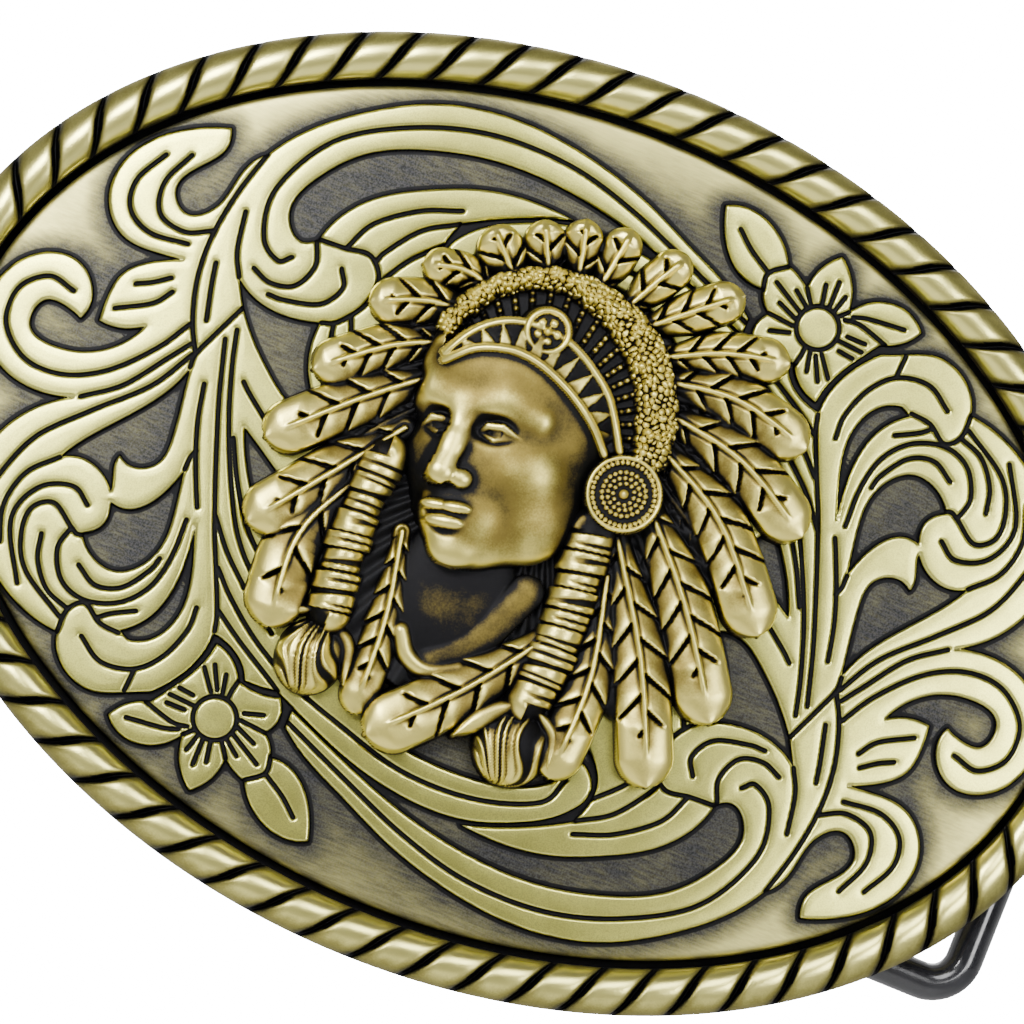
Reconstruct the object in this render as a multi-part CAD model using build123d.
"""Oval western belt buckle: a curved brass plate with a rope border, scrollwork, two
flowers and a relief bust on its face, and a hinged strap loop and a prong on its back.

It is drawn on the bench, face up: X along the belt, Y up the wearer's body and Z out of
the face.  The last step stands every piece up as worn: X along the belt, Z up, face
towards -Y.  The origin is the middle of the plate's back, where the strap lies.
Lengths are in millimetres."""
from build123d import *
from math import asin, atan2, cos, degrees, hypot, pi, radians, sin, sqrt
import os

# ---- driving dimensions ---------------------------------------------------------------
PLATE_LENGTH = 100.0
PLATE_HEIGHT = 73.0
BEND_RADIUS = 250.0  # the plate is bent about an upright line behind it, to fit the body
STRAP_WIDTH = 38.0

# heights above the plate's bent back
LEDGE = 1.2  # what the rope border stands on
FIELD = 2.2  # the sunk background inside the border
SCROLL_TOP = 2.8
ROPE_TOP = 4.2
FEATHER_BASE = 3.6
FEATHER_TOP = 4.3
BAND_TOP = 5.2

# half lengths and half heights of the concentric ovals
ROPE_OUTER = (PLATE_LENGTH / 2, PLATE_HEIGHT / 2)
ROPE_WIDTH = 3.7
PLATE_INSET = 0.8
GROOVE_WIDTH = 0.6
ROPE_STRANDS = 64
STRAND_CUT_WIDTH = 0.35
STRAND_CUT_DEPTH = 0.9
STRAND_SLANT = 46.0  # degrees between a cut and the border's run, inward end leading

# relief bust
SEAT_RADIUS = 15.5
SEAT_GAP = 0.3
POST_RADIUS = 1.25
POST_HEAD_RADIUS = 2.0
POST_PLACES = ((3.0, 9.0), (3.0, -9.0))
POST_REACH = 3.6

# strap loop and its rolled hinge
WIRE_RADIUS = 1.5
PIVOT = (21.0, -3.4)  # x and z of the hinge line
BORE_RADIUS = 1.56
SLEEVE_RADIUS = 2.5
SLEEVE_HALF_LENGTH = 14.0
FLANGE_THICKNESS = 0.94
FLANGE_START = 9.0
LOOP_LENGTH = 25.53  # hinge line to the middle of the far bar
LOOP_DROP = 5.86  # degrees that the folded loop slopes away from the face
LOOP_HALF_WIDTH = STRAP_WIDTH / 2 + 0.65 + WIRE_RADIUS
LOOP_CORNER = 2.8

# rivets
HEAD_HEIGHT = 0.8
HEAD_GAP = 0.02  # flat rivet heads stand this far off the bent face they bear on
HINGE_RIVET_RADIUS = 1.2
HINGE_RIVET_HEAD = 2.2
HINGE_RIVET_PLACES = ((13.0, 10.0), (13.0, -10.0))
BLIND_DEPTH = 1.4
RIVET_CLEARANCE = 0.05
PRONG_RIVET_RADIUS = 1.0
PRONG_RIVET_HEAD = 1.7

# prong
PRONG_X = -33.0
PRONG_RADIUS = 1.9
PRONG_LENGTH = 6.0
COLLAR_RADIUS = 2.8
COLLAR_TOP = 3.05
PRONG_LEAN = 20.0  # degrees outwards
PRONG_PAD = (7.0, 16.0)
PRONG_PAD_THICKNESS = 1.2
PRONG_RIVET_OFFSET = 5.4

REACH = 60.0  # longer than any piece, for cutting tools


# ---- the bent surface ------------------------------------------------------------------
def back_height(x):
    """Height of the plate's bent back at x."""
    return sqrt(BEND_RADIUS ** 2 - x ** 2) - BEND_RADIUS


def bent_slab(low, high):
    """Everything between two heights above the bent back."""
    half = degrees(asin(REACH / (BEND_RADIUS + high)))
    start, sweep_angle = 90 - half, 2 * half
    centre = (0, -BEND_RADIUS)
    with BuildSketch(Plane.XZ) as section:
        with BuildLine():
            outer = CenterArc(centre, BEND_RADIUS + high, start, sweep_angle)
            inner = CenterArc(centre, BEND_RADIUS + low, start, sweep_angle)
            Line(outer @ 0, inner @ 0)
            Line(outer @ 1, inner @ 1)
        make_face()
    return extrude(section.sketch, amount=REACH, both=True)


def bent(outline, low, high):
    """An outline seen from the front, made into a layer of the bent plate."""
    block = extrude(outline, amount=REACH / 2, both=True)
    return block & bent_slab(low, high)


def on_back(x, y, height=0.0):
    """A place at a height above the bent back, with its Z square to the plate."""
    lean = degrees(asin(x / BEND_RADIUS))
    radius = BEND_RADIUS + height
    return Location((radius * sin(radians(lean)), y, radius * cos(radians(lean)) - BEND_RADIUS),
                    (0, lean, 0))


def upright_rod(place, radius, low, high):
    """A rod along a place's Z, from one height to another."""
    rod = Cylinder(radius, high - low, align=(Align.CENTER, Align.CENTER, Align.MIN))
    return place * Pos(0, 0, low) * rod


def oval(inset):
    """The plate's oval outline, drawn in by a distance."""
    return Ellipse(ROPE_OUTER[0] - inset, ROPE_OUTER[1] - inset)


def outline(strokes):
    """A closed outline from smooth strokes that meet at corners."""
    with BuildSketch() as sketch:
        with BuildLine():
            for stroke in strokes:
                if len(stroke) == 2:
                    Line(*stroke)
                else:
                    Spline(*stroke)
        make_face()
    return sketch.sketch


def closed_curve(points):
    """A closed smooth outline through its points."""
    with BuildSketch() as sketch:
        with BuildLine():
            Spline(*points, periodic=True)
        make_face()
    return sketch.sketch


# ---- scrollwork outlines ---------------------------------------------------------------
# The left spray and the lower flower are drawn about a point a little up and right of the
# plate's middle; the right spray and the upper flower are the same, turned half round.
DRAWN_FROM = Pos(-0.2, -0.3)

SPRAY_EDGE = [
    # long leaf over the top, outer edge, from its end to the fork
    [(11.1, 22.0), (8.3, 23.9), (5, 25.4), (1, 27.2), (-5, 29.0), (-12, 29.65), (-18, 28.45),
     (-23, 25.7), (-26.6, 22.7), (-28.75, 19.8)],
    # hollow of the upper left leaf
    [(-28.75, 19.8), (-30.2, 17.2), (-31.0, 14.4), (-32.9, 13.2), (-34.35, 14.7), (-33.6, 16.6),
     (-32.2, 18.3), (-32.1, 20.75)],
    # its outer edge, down to the slit
    [(-32.1, 20.75), (-35.8, 19.1), (-38.7, 16), (-39.1, 12.3), (-36.9, 9.7), (-34, 9.4), (-31.8, 9.65)],
    # small leaf under it
    [(-31.8, 9.65), (-34.2, 8.5), (-35.8, 6.9), (-36.2, 4.8), (-36.1, 2.8)],
    [(-36.1, 2.8), (-34.3, 2.85), (-32.6, 3.65)],
    # hollow of the left curl
    [(-32.6, 3.65), (-34.3, 1.3), (-38.3, -0.3), (-41.0, 0.6), (-40.6, 2.75), (-38.9, 2.9), (-37.5, 2.4)],
    # the left curl's outer edge
    [(-37.5, 2.4), (-37.4, 4.8), (-39.3, 6.6), (-42.3, 6.15), (-44.6, 3.2), (-44.4, -0.8),
     (-42.2, -3.2), (-39.3, -4.1), (-35.2, -3.3)],
    # round the lower left scroll
    [(-35.2, -3.3), (-38.2, -5.4), (-40.3, -8.8), (-40.7, -12), (-39.2, -15.5), (-36.8, -18.2),
     (-33.2, -20.4), (-30.0, -21.1)],
    # bottom leaf
    [(-30.0, -21.1), (-28.9, -23.2), (-26, -24.4), (-23.4, -23.6), (-21.5, -22.8)],
    [(-21.5, -22.8), (-19.5, -20.2), (-18.75, -18.2), (-18.6, -16.7)],
    # leaf tip beside the flower
    [(-18.6, -16.7), (-17.1, -17.1), (-15.5, -18.3), (-15.0, -19.2)],
    [(-15.0, -19.2), (-13.8, -19.2), (-12.4, -19.0)],
    # long leaf under the bust, to its hooked end
    [(-12.4, -19.0), (-9.2, -20.4), (-5, -22), (0, -23.05), (5, -22.9), (9, -21.5), (12.3, -19.3),
     (13.35, -17.0), (12.5, -15.6), (11.5, -15.2)],
    [(11.5, -15.2), (10.6, -17.2), (7, -19.2), (2, -19.75), (-4, -18.7), (-7.5, -15.5), (-6, -9)],
    # hidden under the bust
    [(-6, -9), (-4, 10)],
    [(-4, 10), (-9.5, 13.6), (-12.4, 15.5), (-13.3, 17.3), (-13.0, 19.4), (-12.6, 20.4)],
    # inner leaf, out to its tip and back
    [(-12.6, 20.4), (-9, 22.3), (-4.5, 23.95)],
    [(-4.5, 23.95), (-8, 24.15), (-12, 23.55), (-16, 21.95), (-19.7, 19.7), (-21.7, 17.3), (-22.5, 15.1)],
    # inner edge of the long top leaf
    [(-22.5, 15.1), (-24.0, 14.5), (-25.4, 16.2), (-24.5, 19.4), (-21.7, 22.6), (-17, 24.85),
     (-11.5, 26), (-5.5, 25.85), (0.4, 24.65), (6, 22.7), (11.1, 20.6)],
    [(11.1, 20.6), (11.1, 22.0)],
]

SPRAY_HOLLOWS = [
    # under the big curl
    [[(-27.2, 10.0), (-25.3, 8.85), (-23.3, 8.5), (-20.0, 9.0)],
     [(-20.0, 9.0), (-19.9, 6.5), (-18.8, 4.0)],
     [(-18.8, 4.0), (-17.6, 2.3)],
     [(-17.6, 2.3), (-19.8, 2.3), (-22, 3.75), (-24.2, 5.75), (-26.0, 7.9)],
     [(-26.0, 7.9), (-27.2, 10.0)]],
    # over the lower left scroll
    [[(-28.05, 2.0), (-28.8, 0.0), (-30.4, -2.4), (-33.0, -5.5), (-34.9, -8.3)],
     [(-34.9, -8.3), (-33, -7.7), (-31.4, -8.2), (-30.2, -9.4)],
     [(-30.2, -9.4), (-30.35, -8.6), (-30.75, -7.3), (-30.6, -6.4)],
     [(-30.6, -6.4), (-29.1, -6.85), (-27.7, -6.0), (-27.35, -3.5), (-27.8, 0.0), (-28.05, 2.0)]],
    # between the hooked leaf and the long strands
    [[(-25.5, -5.6), (-25.0, -9), (-25.25, -12.8), (-27.6, -15.0), (-29.6, -14.6), (-31.0, -13.2)],
     [(-31.0, -13.2), (-29.75, -11.9), (-29.9, -10.1)],
     [(-29.9, -10.1), (-28.4, -10.15), (-26.8, -8.8), (-25.5, -5.6)]],
    # sliver above the bottom leaf
    [[(-23.1, -9.4), (-22.7, -13.0), (-23.5, -17.0), (-25.5, -19.2)],
     [(-25.5, -19.2), (-24.6, -19.6)],
     [(-24.6, -19.6), (-22.7, -18.6), (-21.7, -16.4), (-21.9, -13.2), (-23.1, -9.4)]],
    # beside the bust
    [[(-22.4, -0.8), (-20.0, -2.3), (-17.0, -4.3)],
     [(-17.0, -4.3), (-18.6, -7.0)],
     [(-18.6, -7.0), (-20.9, -3.9), (-22.4, -0.8)]],
]

FLOWER_EDGE = [
    # upper petal and side petal, against the spray
    [(-18.1, -17.3), (-16.5, -18.0), (-15.4, -19.4)],
    [(-15.4, -19.4), (-13.6, -19.7), (-11.9, -19.4)],
    [(-11.9, -19.4), (-11.35, -20.8), (-12.0, -22.4)],
    [(-12.0, -22.4), (-11.2, -23.2), (-10.9, -24.0)],
    # right leaf
    [(-10.9, -24.0), (-8.5, -24.5), (-6.6, -26.6), (-5.7, -29.0)],
    [(-5.7, -29.0), (-7.5, -29.5), (-10.3, -28.6), (-12.1, -26.5)],
    # lower petals
    [(-12.1, -26.5), (-13.2, -26.05), (-14.1, -25.4)],
    [(-14.1, -25.4), (-14.3, -26.7), (-15.8, -28.8)],
    [(-15.8, -28.8), (-17.6, -26.5), (-17.9, -24.9)],
    # left leaf
    [(-17.9, -24.9), (-19.4, -26.4), (-21.5, -26.9), (-23.9, -25.6)],
    [(-23.9, -25.6), (-22.9, -24.3), (-21.2, -23.45)],
    # against the bottom leaf
    [(-21.2, -23.45), (-19.2, -20.5), (-18.35, -18.6), (-18.1, -17.3)],
]

# the bust's outline, lobe by lobe: each feather tip and the notch after it
BUST_EDGE = [
    (-10.4, 18.2), (-11.0, 20.3), (-8.6, 21.6), (-6.9, 22.9), (-4.9, 22.4), (-3.0, 24.4), (-1.4, 23.2),
    (0.4, 25.1), (1.9, 23.6), (4.6, 24.8), (6.4, 23.1), (9.6, 23.6), (10.2, 21.2), (13.4, 21.4),
    (15.5, 20.2), (13.6, 17.9), (17.8, 16.5), (19.1, 14.8), (17.4, 13.2), (20.4, 9.8), (21.4, 7.4),
    (19.2, 6.8), (20.8, 2.4), (20.9, -0.8), (19.4, -1.8), (21.0, -7.0), (18.8, -9.0), (17.6, -11.0),
    (18.0, -14.6), (15.4, -14.2), (13.5, -11.5), (10.9, -12.0), (11.0, -17.2), (6.5, -18.8),
    (3.2, -17.2), (0.6, -18.0), (-2.6, -19.8), (-5.2, -18.2), (-8.4, -17.4), (-11.6, -17.8), (-13.6, -15.4),
    (-16.0, -12.0), (-16.9, -8.8), (-20.0, -6.8), (-19.2, -3.4), (-20.8, -0.4), (-19.0, 4.2),
    (-19.3, 7.0), (-17.4, 10.4), (-16.9, 13.0), (-14.0, 15.0), (-14.2, 17.3),
]


def turned(shape):
    """The same shape, turned half round about the plate's middle."""
    return Rot(0, 0, 180) * shape


def spray_face():
    """The left spray: its outer edge, less its hollows and the bust's seat."""
    face = outline(SPRAY_EDGE)
    for hollow in SPRAY_HOLLOWS:
        face -= outline(hollow)
    return DRAWN_FROM * face - seat_circle(SEAT_GAP)


def flower_face():
    """The lower flower with its two leaves."""
    return DRAWN_FROM * outline(FLOWER_EDGE)


def seat_circle(margin):
    """The round seat under the bust, grown by a margin."""
    return Circle(SEAT_RADIUS + margin)


# ---- plate and face ----------------------------------------------------------------------
def base_plate():
    """Plate with a ledge for the rope border, and holes for the posts and rivets."""
    plate = bent(oval(PLATE_INSET), 0, LEDGE)
    plate += bent(oval(ROPE_WIDTH + GROOVE_WIDTH), LEDGE, FIELD)
    for x, y in POST_PLACES:
        plate -= upright_rod(on_back(x, y), POST_RADIUS, -1, POST_REACH)
    for x, y in HINGE_RIVET_PLACES:
        plate -= upright_rod(on_back(x, y), HINGE_RIVET_RADIUS, -1, BLIND_DEPTH)
    for y in (PRONG_RIVET_OFFSET, -PRONG_RIVET_OFFSET):
        plate -= upright_rod(on_back(PRONG_X, y), PRONG_RIVET_RADIUS, -1, BLIND_DEPTH)
    return plate


def rope_border():
    """Rope border on the ledge: a crowned ring with a slanted cut between strands."""
    crown = (ROPE_TOP - LEDGE) / 3
    ring = bent(oval(0) - oval(ROPE_WIDTH), LEDGE, ROPE_TOP - crown)
    ring += bent(oval(0.45) - oval(ROPE_WIDTH - 0.45), ROPE_TOP - crown, ROPE_TOP - 0.4 * crown)
    ring += bent(oval(1.1) - oval(ROPE_WIDTH - 1.1), ROPE_TOP - 0.4 * crown, ROPE_TOP)
    middle = (ROPE_OUTER[0] - ROPE_WIDTH / 2, ROPE_OUTER[1] - ROPE_WIDTH / 2)
    cutter = Box(2.2 * ROPE_WIDTH, STRAND_CUT_WIDTH, 2 * STRAND_CUT_DEPTH)
    cuts = []
    for angle in even_angles(middle, ROPE_STRANDS):
        x, y = middle[0] * cos(angle), middle[1] * sin(angle)
        heading = degrees(atan2(middle[1] * cos(angle), -middle[0] * sin(angle)))
        cuts.append(on_back(x, y, ROPE_TOP) * Rot(0, 0, heading + STRAND_SLANT) * cutter)
    return ring - cuts


def even_angles(axes, count):
    """Angles that divide an oval of these half axes into equal lengths."""
    steps = 40 * count
    angles = [2 * pi * step / steps for step in range(steps + 1)]
    length, lengths = 0.0, [0.0]
    for before, after in zip(angles, angles[1:]):
        length += hypot(axes[0] * (cos(after) - cos(before)), axes[1] * (sin(after) - sin(before)))
        lengths.append(length)
    found, step = [], 0
    for number in range(count):
        while lengths[step] < length * number / count:
            step += 1
        found.append(angles[step])
    return found


def spheroid(radius, half_length):
    """An egg-like solid about an upright axis: round in plan, longer than wide."""
    half_oval = Ellipse(radius, half_length) & (Pos(radius, 0) * Rectangle(2 * radius, 2 * half_length))
    return revolve(half_oval, axis=Axis.Y)


def capsule(radius, length):
    """A round-ended rod about an upright axis."""
    stadium = SlotOverall(length, 2 * radius, rotation=90)
    return revolve(stadium & (Pos(radius, 0) * Rectangle(2 * radius, 2 * length)), axis=Axis.Y)


def feather_face(root, tip):
    """A feather's paddle shape between its root and its tip."""
    (x0, y0), (x1, y1) = root, tip
    run = hypot(x1 - x0, y1 - y0)
    heading = degrees(atan2(y1 - y0, x1 - x0))
    paddle = SlotOverall(run + FEATHER_WIDTH / 2, FEATHER_WIDTH)
    return Pos((x0 + x1) / 2, (y0 + y1) / 2) * Rot(0, 0, heading) * Pos(-FEATHER_WIDTH / 4, 0) * paddle


FEATHERS = [
    # root and tip of each feather of the war bonnet
    ((-8.2, 15.2), (-10.6, 20.2)), ((-5.9, 17.6), (-7.2, 22.6)), ((-2.6, 18.6), (-3.1, 24.2)),
    ((-0.2, 18.8), (0.5, 24.8)), ((2.4, 18.4), (4.8, 24.4)), ((4.6, 17.0), (9.8, 22.9)),
    ((6.4, 15.4), (15.2, 20.0)), ((7.6, 13.6), (18.8, 15.0)), ((8.4, 11.4), (21.2, 7.6)),
    ((8.8, 9.4), (20.8, -0.2)), ((8.6, 6.0), (20.4, -7.8)), ((8.2, 2.6), (17.6, -14.4)),
    ((-9.8, 13.4), (-14.0, 16.8)), ((-10.6, 11.6), (-16.8, 12.2)), ((-11.0, 9.8), (-19.0, 6.8)),
    ((-10.8, 6.6), (-20.4, -0.2)), ((-10.6, 3.2), (-19.6, -7.0)), ((-12.0, -1.2), (-15.2, -13.2)),
    ((6.8, -6.0), (-2.6, -19.4)),
]
FEATHER_WIDTH = 3.8


BRAID_RADIUS = 2.1
BAND_EDGE = [(-10.4, 11.2), (-7.5, 13.2), (-3.4, 14.0), (1.0, 12.4), (5.2, 8.6),
             (7.2, 10.2), (4.6, 15.0), (-0.4, 19.2), (-5.4, 18.4), (-9.6, 15.2)]


def bust_casting():
    """Bust in a feather war bonnet: a plain face, braids, headband, ear rosette and feathers."""
    feathers = [feather_face(root, tip) for root, tip in FEATHERS]
    bust = bent(closed_curve(BUST_EDGE), SCROLL_TOP, FEATHER_BASE)
    bust += bent(Sketch() + feathers, SCROLL_TOP, FEATHER_TOP)
    bust += bent(closed_curve(BAND_EDGE), SCROLL_TOP, BAND_TOP)
    head = Pos(-3.2, 4.4, 1.4) * spheroid(6.4, 9.0)
    nose = Pos(-5.0, 3.6, 5.9) * spheroid(1.4, 2.8)
    neck = Pos(-1.6, -6.5, 0.4) * spheroid(4.4, 6.6)
    rosette = Pos(7.2, 5.7, SCROLL_TOP) * Cylinder(3.0, 3.0, align=(Align.CENTER, Align.CENTER, Align.MIN))
    brow_disc = Pos(-3.2, 15.0, SCROLL_TOP) * Cylinder(1.8, 3.4, align=(Align.CENTER, Align.CENTER, Align.MIN))
    for piece in (head, nose, neck, rosette, brow_disc):
        bust += piece
    for x in (-10.9, 6.4):
        bust += Pos(x, -6.2, 3.0) * capsule(BRAID_RADIUS, 17.0)
        bust += Pos(x, -15.0, 2.6) * spheroid(2.5, 3.2)
    bust &= bent_slab(SCROLL_TOP, REACH / 4)
    bust += bent(seat_circle(0), FIELD, SCROLL_TOP)
    for x, y in POST_PLACES:
        bust -= upright_rod(on_back(x, y), POST_RADIUS, 0, POST_REACH)
    return bust


def bust_posts():
    """Two posts that hold the bust, riveted over at the back."""
    posts = []
    for x, y in POST_PLACES:
        place = on_back(x, y)
        shank = upright_rod(place, POST_RADIUS, 0, POST_REACH)
        posts.append(shank + upright_rod(place, POST_HEAD_RADIUS, -HEAD_HEIGHT, 0))
    return Compound(children=posts)


# ---- strap loop and hinge ----------------------------------------------------------------
def hinge_sleeve():
    """Strip rolled round the loop's near bar, with a flange riveted to the plate's back."""
    half = SLEEVE_HALF_LENGTH
    flange_face = Pos((FLANGE_START + PIVOT[0]) / 2, 0) * Rectangle(PIVOT[0] - FLANGE_START, 2 * half)
    sleeve = bent(flange_face, -FLANGE_THICKNESS, 0)
    sleeve += Pos(PIVOT[0], 0, PIVOT[1]) * Rot(90, 0, 0) * Cylinder(SLEEVE_RADIUS, 2 * half)
    sleeve -= Pos(PIVOT[0], 0, PIVOT[1]) * Rot(90, 0, 0) * Cylinder(BORE_RADIUS, 2 * half + 2)
    for x, y in HINGE_RIVET_PLACES:
        sleeve -= upright_rod(on_back(x, y), HINGE_RIVET_RADIUS + RIVET_CLEARANCE, -4, 1)
    return sleeve


def riveted(places, radius, head_radius, seat):
    """Rivets in blind holes in the plate, their heads on a layer of this thickness."""
    rivets = []
    for x, y in places:
        place = on_back(x, y)
        shank = upright_rod(place, radius, -seat - HEAD_HEIGHT / 2, BLIND_DEPTH)
        rivets.append(shank + upright_rod(place, head_radius, -seat - HEAD_HEIGHT, -seat - HEAD_GAP))
    return Compound(children=rivets)


def belt_loop():
    """Closed wire loop: near bar in the sleeve, strap sewn or snapped round the far bar."""
    loop_plane = Plane(origin=(PIVOT[0], 0, PIVOT[1]), x_dir=(cos(radians(LOOP_DROP)), 0, -sin(radians(LOOP_DROP))),
                       z_dir=(sin(radians(LOOP_DROP)), 0, cos(radians(LOOP_DROP))))
    path_face = loop_plane * Pos(LOOP_LENGTH / 2, 0) * RectangleRounded(LOOP_LENGTH, 2 * LOOP_HALF_WIDTH, LOOP_CORNER)
    path = path_face.wire()
    start = Plane(origin=path @ 0, z_dir=path % 0)
    return sweep(start * Circle(WIRE_RADIUS), path=path)


# ---- prong ---------------------------------------------------------------------------------
def prong_plate():
    """Pad riveted to the plate's back, which carries the prong."""
    pad_face = Pos(PRONG_X, 0) * RectangleRounded(*PRONG_PAD, 1.5)
    pad = bent(pad_face, -PRONG_PAD_THICKNESS, 0)
    for y in (PRONG_RIVET_OFFSET, -PRONG_RIVET_OFFSET):
        pad -= upright_rod(on_back(PRONG_X, y), PRONG_RIVET_RADIUS + RIVET_CLEARANCE, -4, 1)
    return pad - prong_axis() * Cylinder(COLLAR_RADIUS, 2 * PRONG_LENGTH)


def prong_axis():
    """Where the prong leaves the plate's back, with Z along the prong."""
    return Location((PRONG_X, 0, back_height(PRONG_X)), (0, 180 + PRONG_LEAN, 0))


def prong():
    """Round-ended prong on a collar that leans outwards, for a hole in the strap."""
    root = -PRONG_PAD_THICKNESS
    with BuildSketch(Plane.XZ) as half_profile:
        with BuildLine():
            collar = Polyline((COLLAR_RADIUS, root), (COLLAR_RADIUS, COLLAR_TOP), (PRONG_RADIUS, COLLAR_TOP))
            side = Line(collar @ 1, (PRONG_RADIUS, PRONG_LENGTH))
            end = JernArc(side @ 1, (0, 1), PRONG_RADIUS, 90)
            Polyline(end @ 1, (0, root), collar @ 0)
        make_face()
    whole = prong_axis() * revolve(half_profile.sketch, axis=Axis.Z)
    return whole - bent(Pos(PRONG_X, 0) * Circle(4 * PRONG_RADIUS), 0, REACH / 4)


# ---- assembly ------------------------------------------------------------------------------
def save(name, shape):
    """Stand a piece up as worn and write it."""
    export_step(Rot(90, 0, 0) * shape, f"parts/{name}.step")


def main():
    os.makedirs("parts", exist_ok=True)
    spray = bent(spray_face(), FIELD, SCROLL_TOP)
    flower = bent(flower_face(), FIELD, SCROLL_TOP)
    prong_rivet_places = [(PRONG_X, y) for y in (PRONG_RIVET_OFFSET, -PRONG_RIVET_OFFSET)]
    save("base_plate", base_plate())
    save("rope_border", rope_border())
    save("scroll_overlay_left", spray)
    save("scroll_overlay_right", turned(spray))
    save("flower_overlay_lower", flower)
    save("flower_overlay_upper", turned(flower))
    save("bust_casting", bust_casting())
    save("bust_posts", bust_posts())
    save("hinge_sleeve", hinge_sleeve())
    save("hinge_rivets", riveted(HINGE_RIVET_PLACES, HINGE_RIVET_RADIUS, HINGE_RIVET_HEAD, FLANGE_THICKNESS))
    save("belt_loop", belt_loop())
    save("prong_plate", prong_plate())
    save("prong_rivets", riveted(prong_rivet_places, PRONG_RIVET_RADIUS, PRONG_RIVET_HEAD, PRONG_PAD_THICKNESS))
    save("prong", prong())


main()
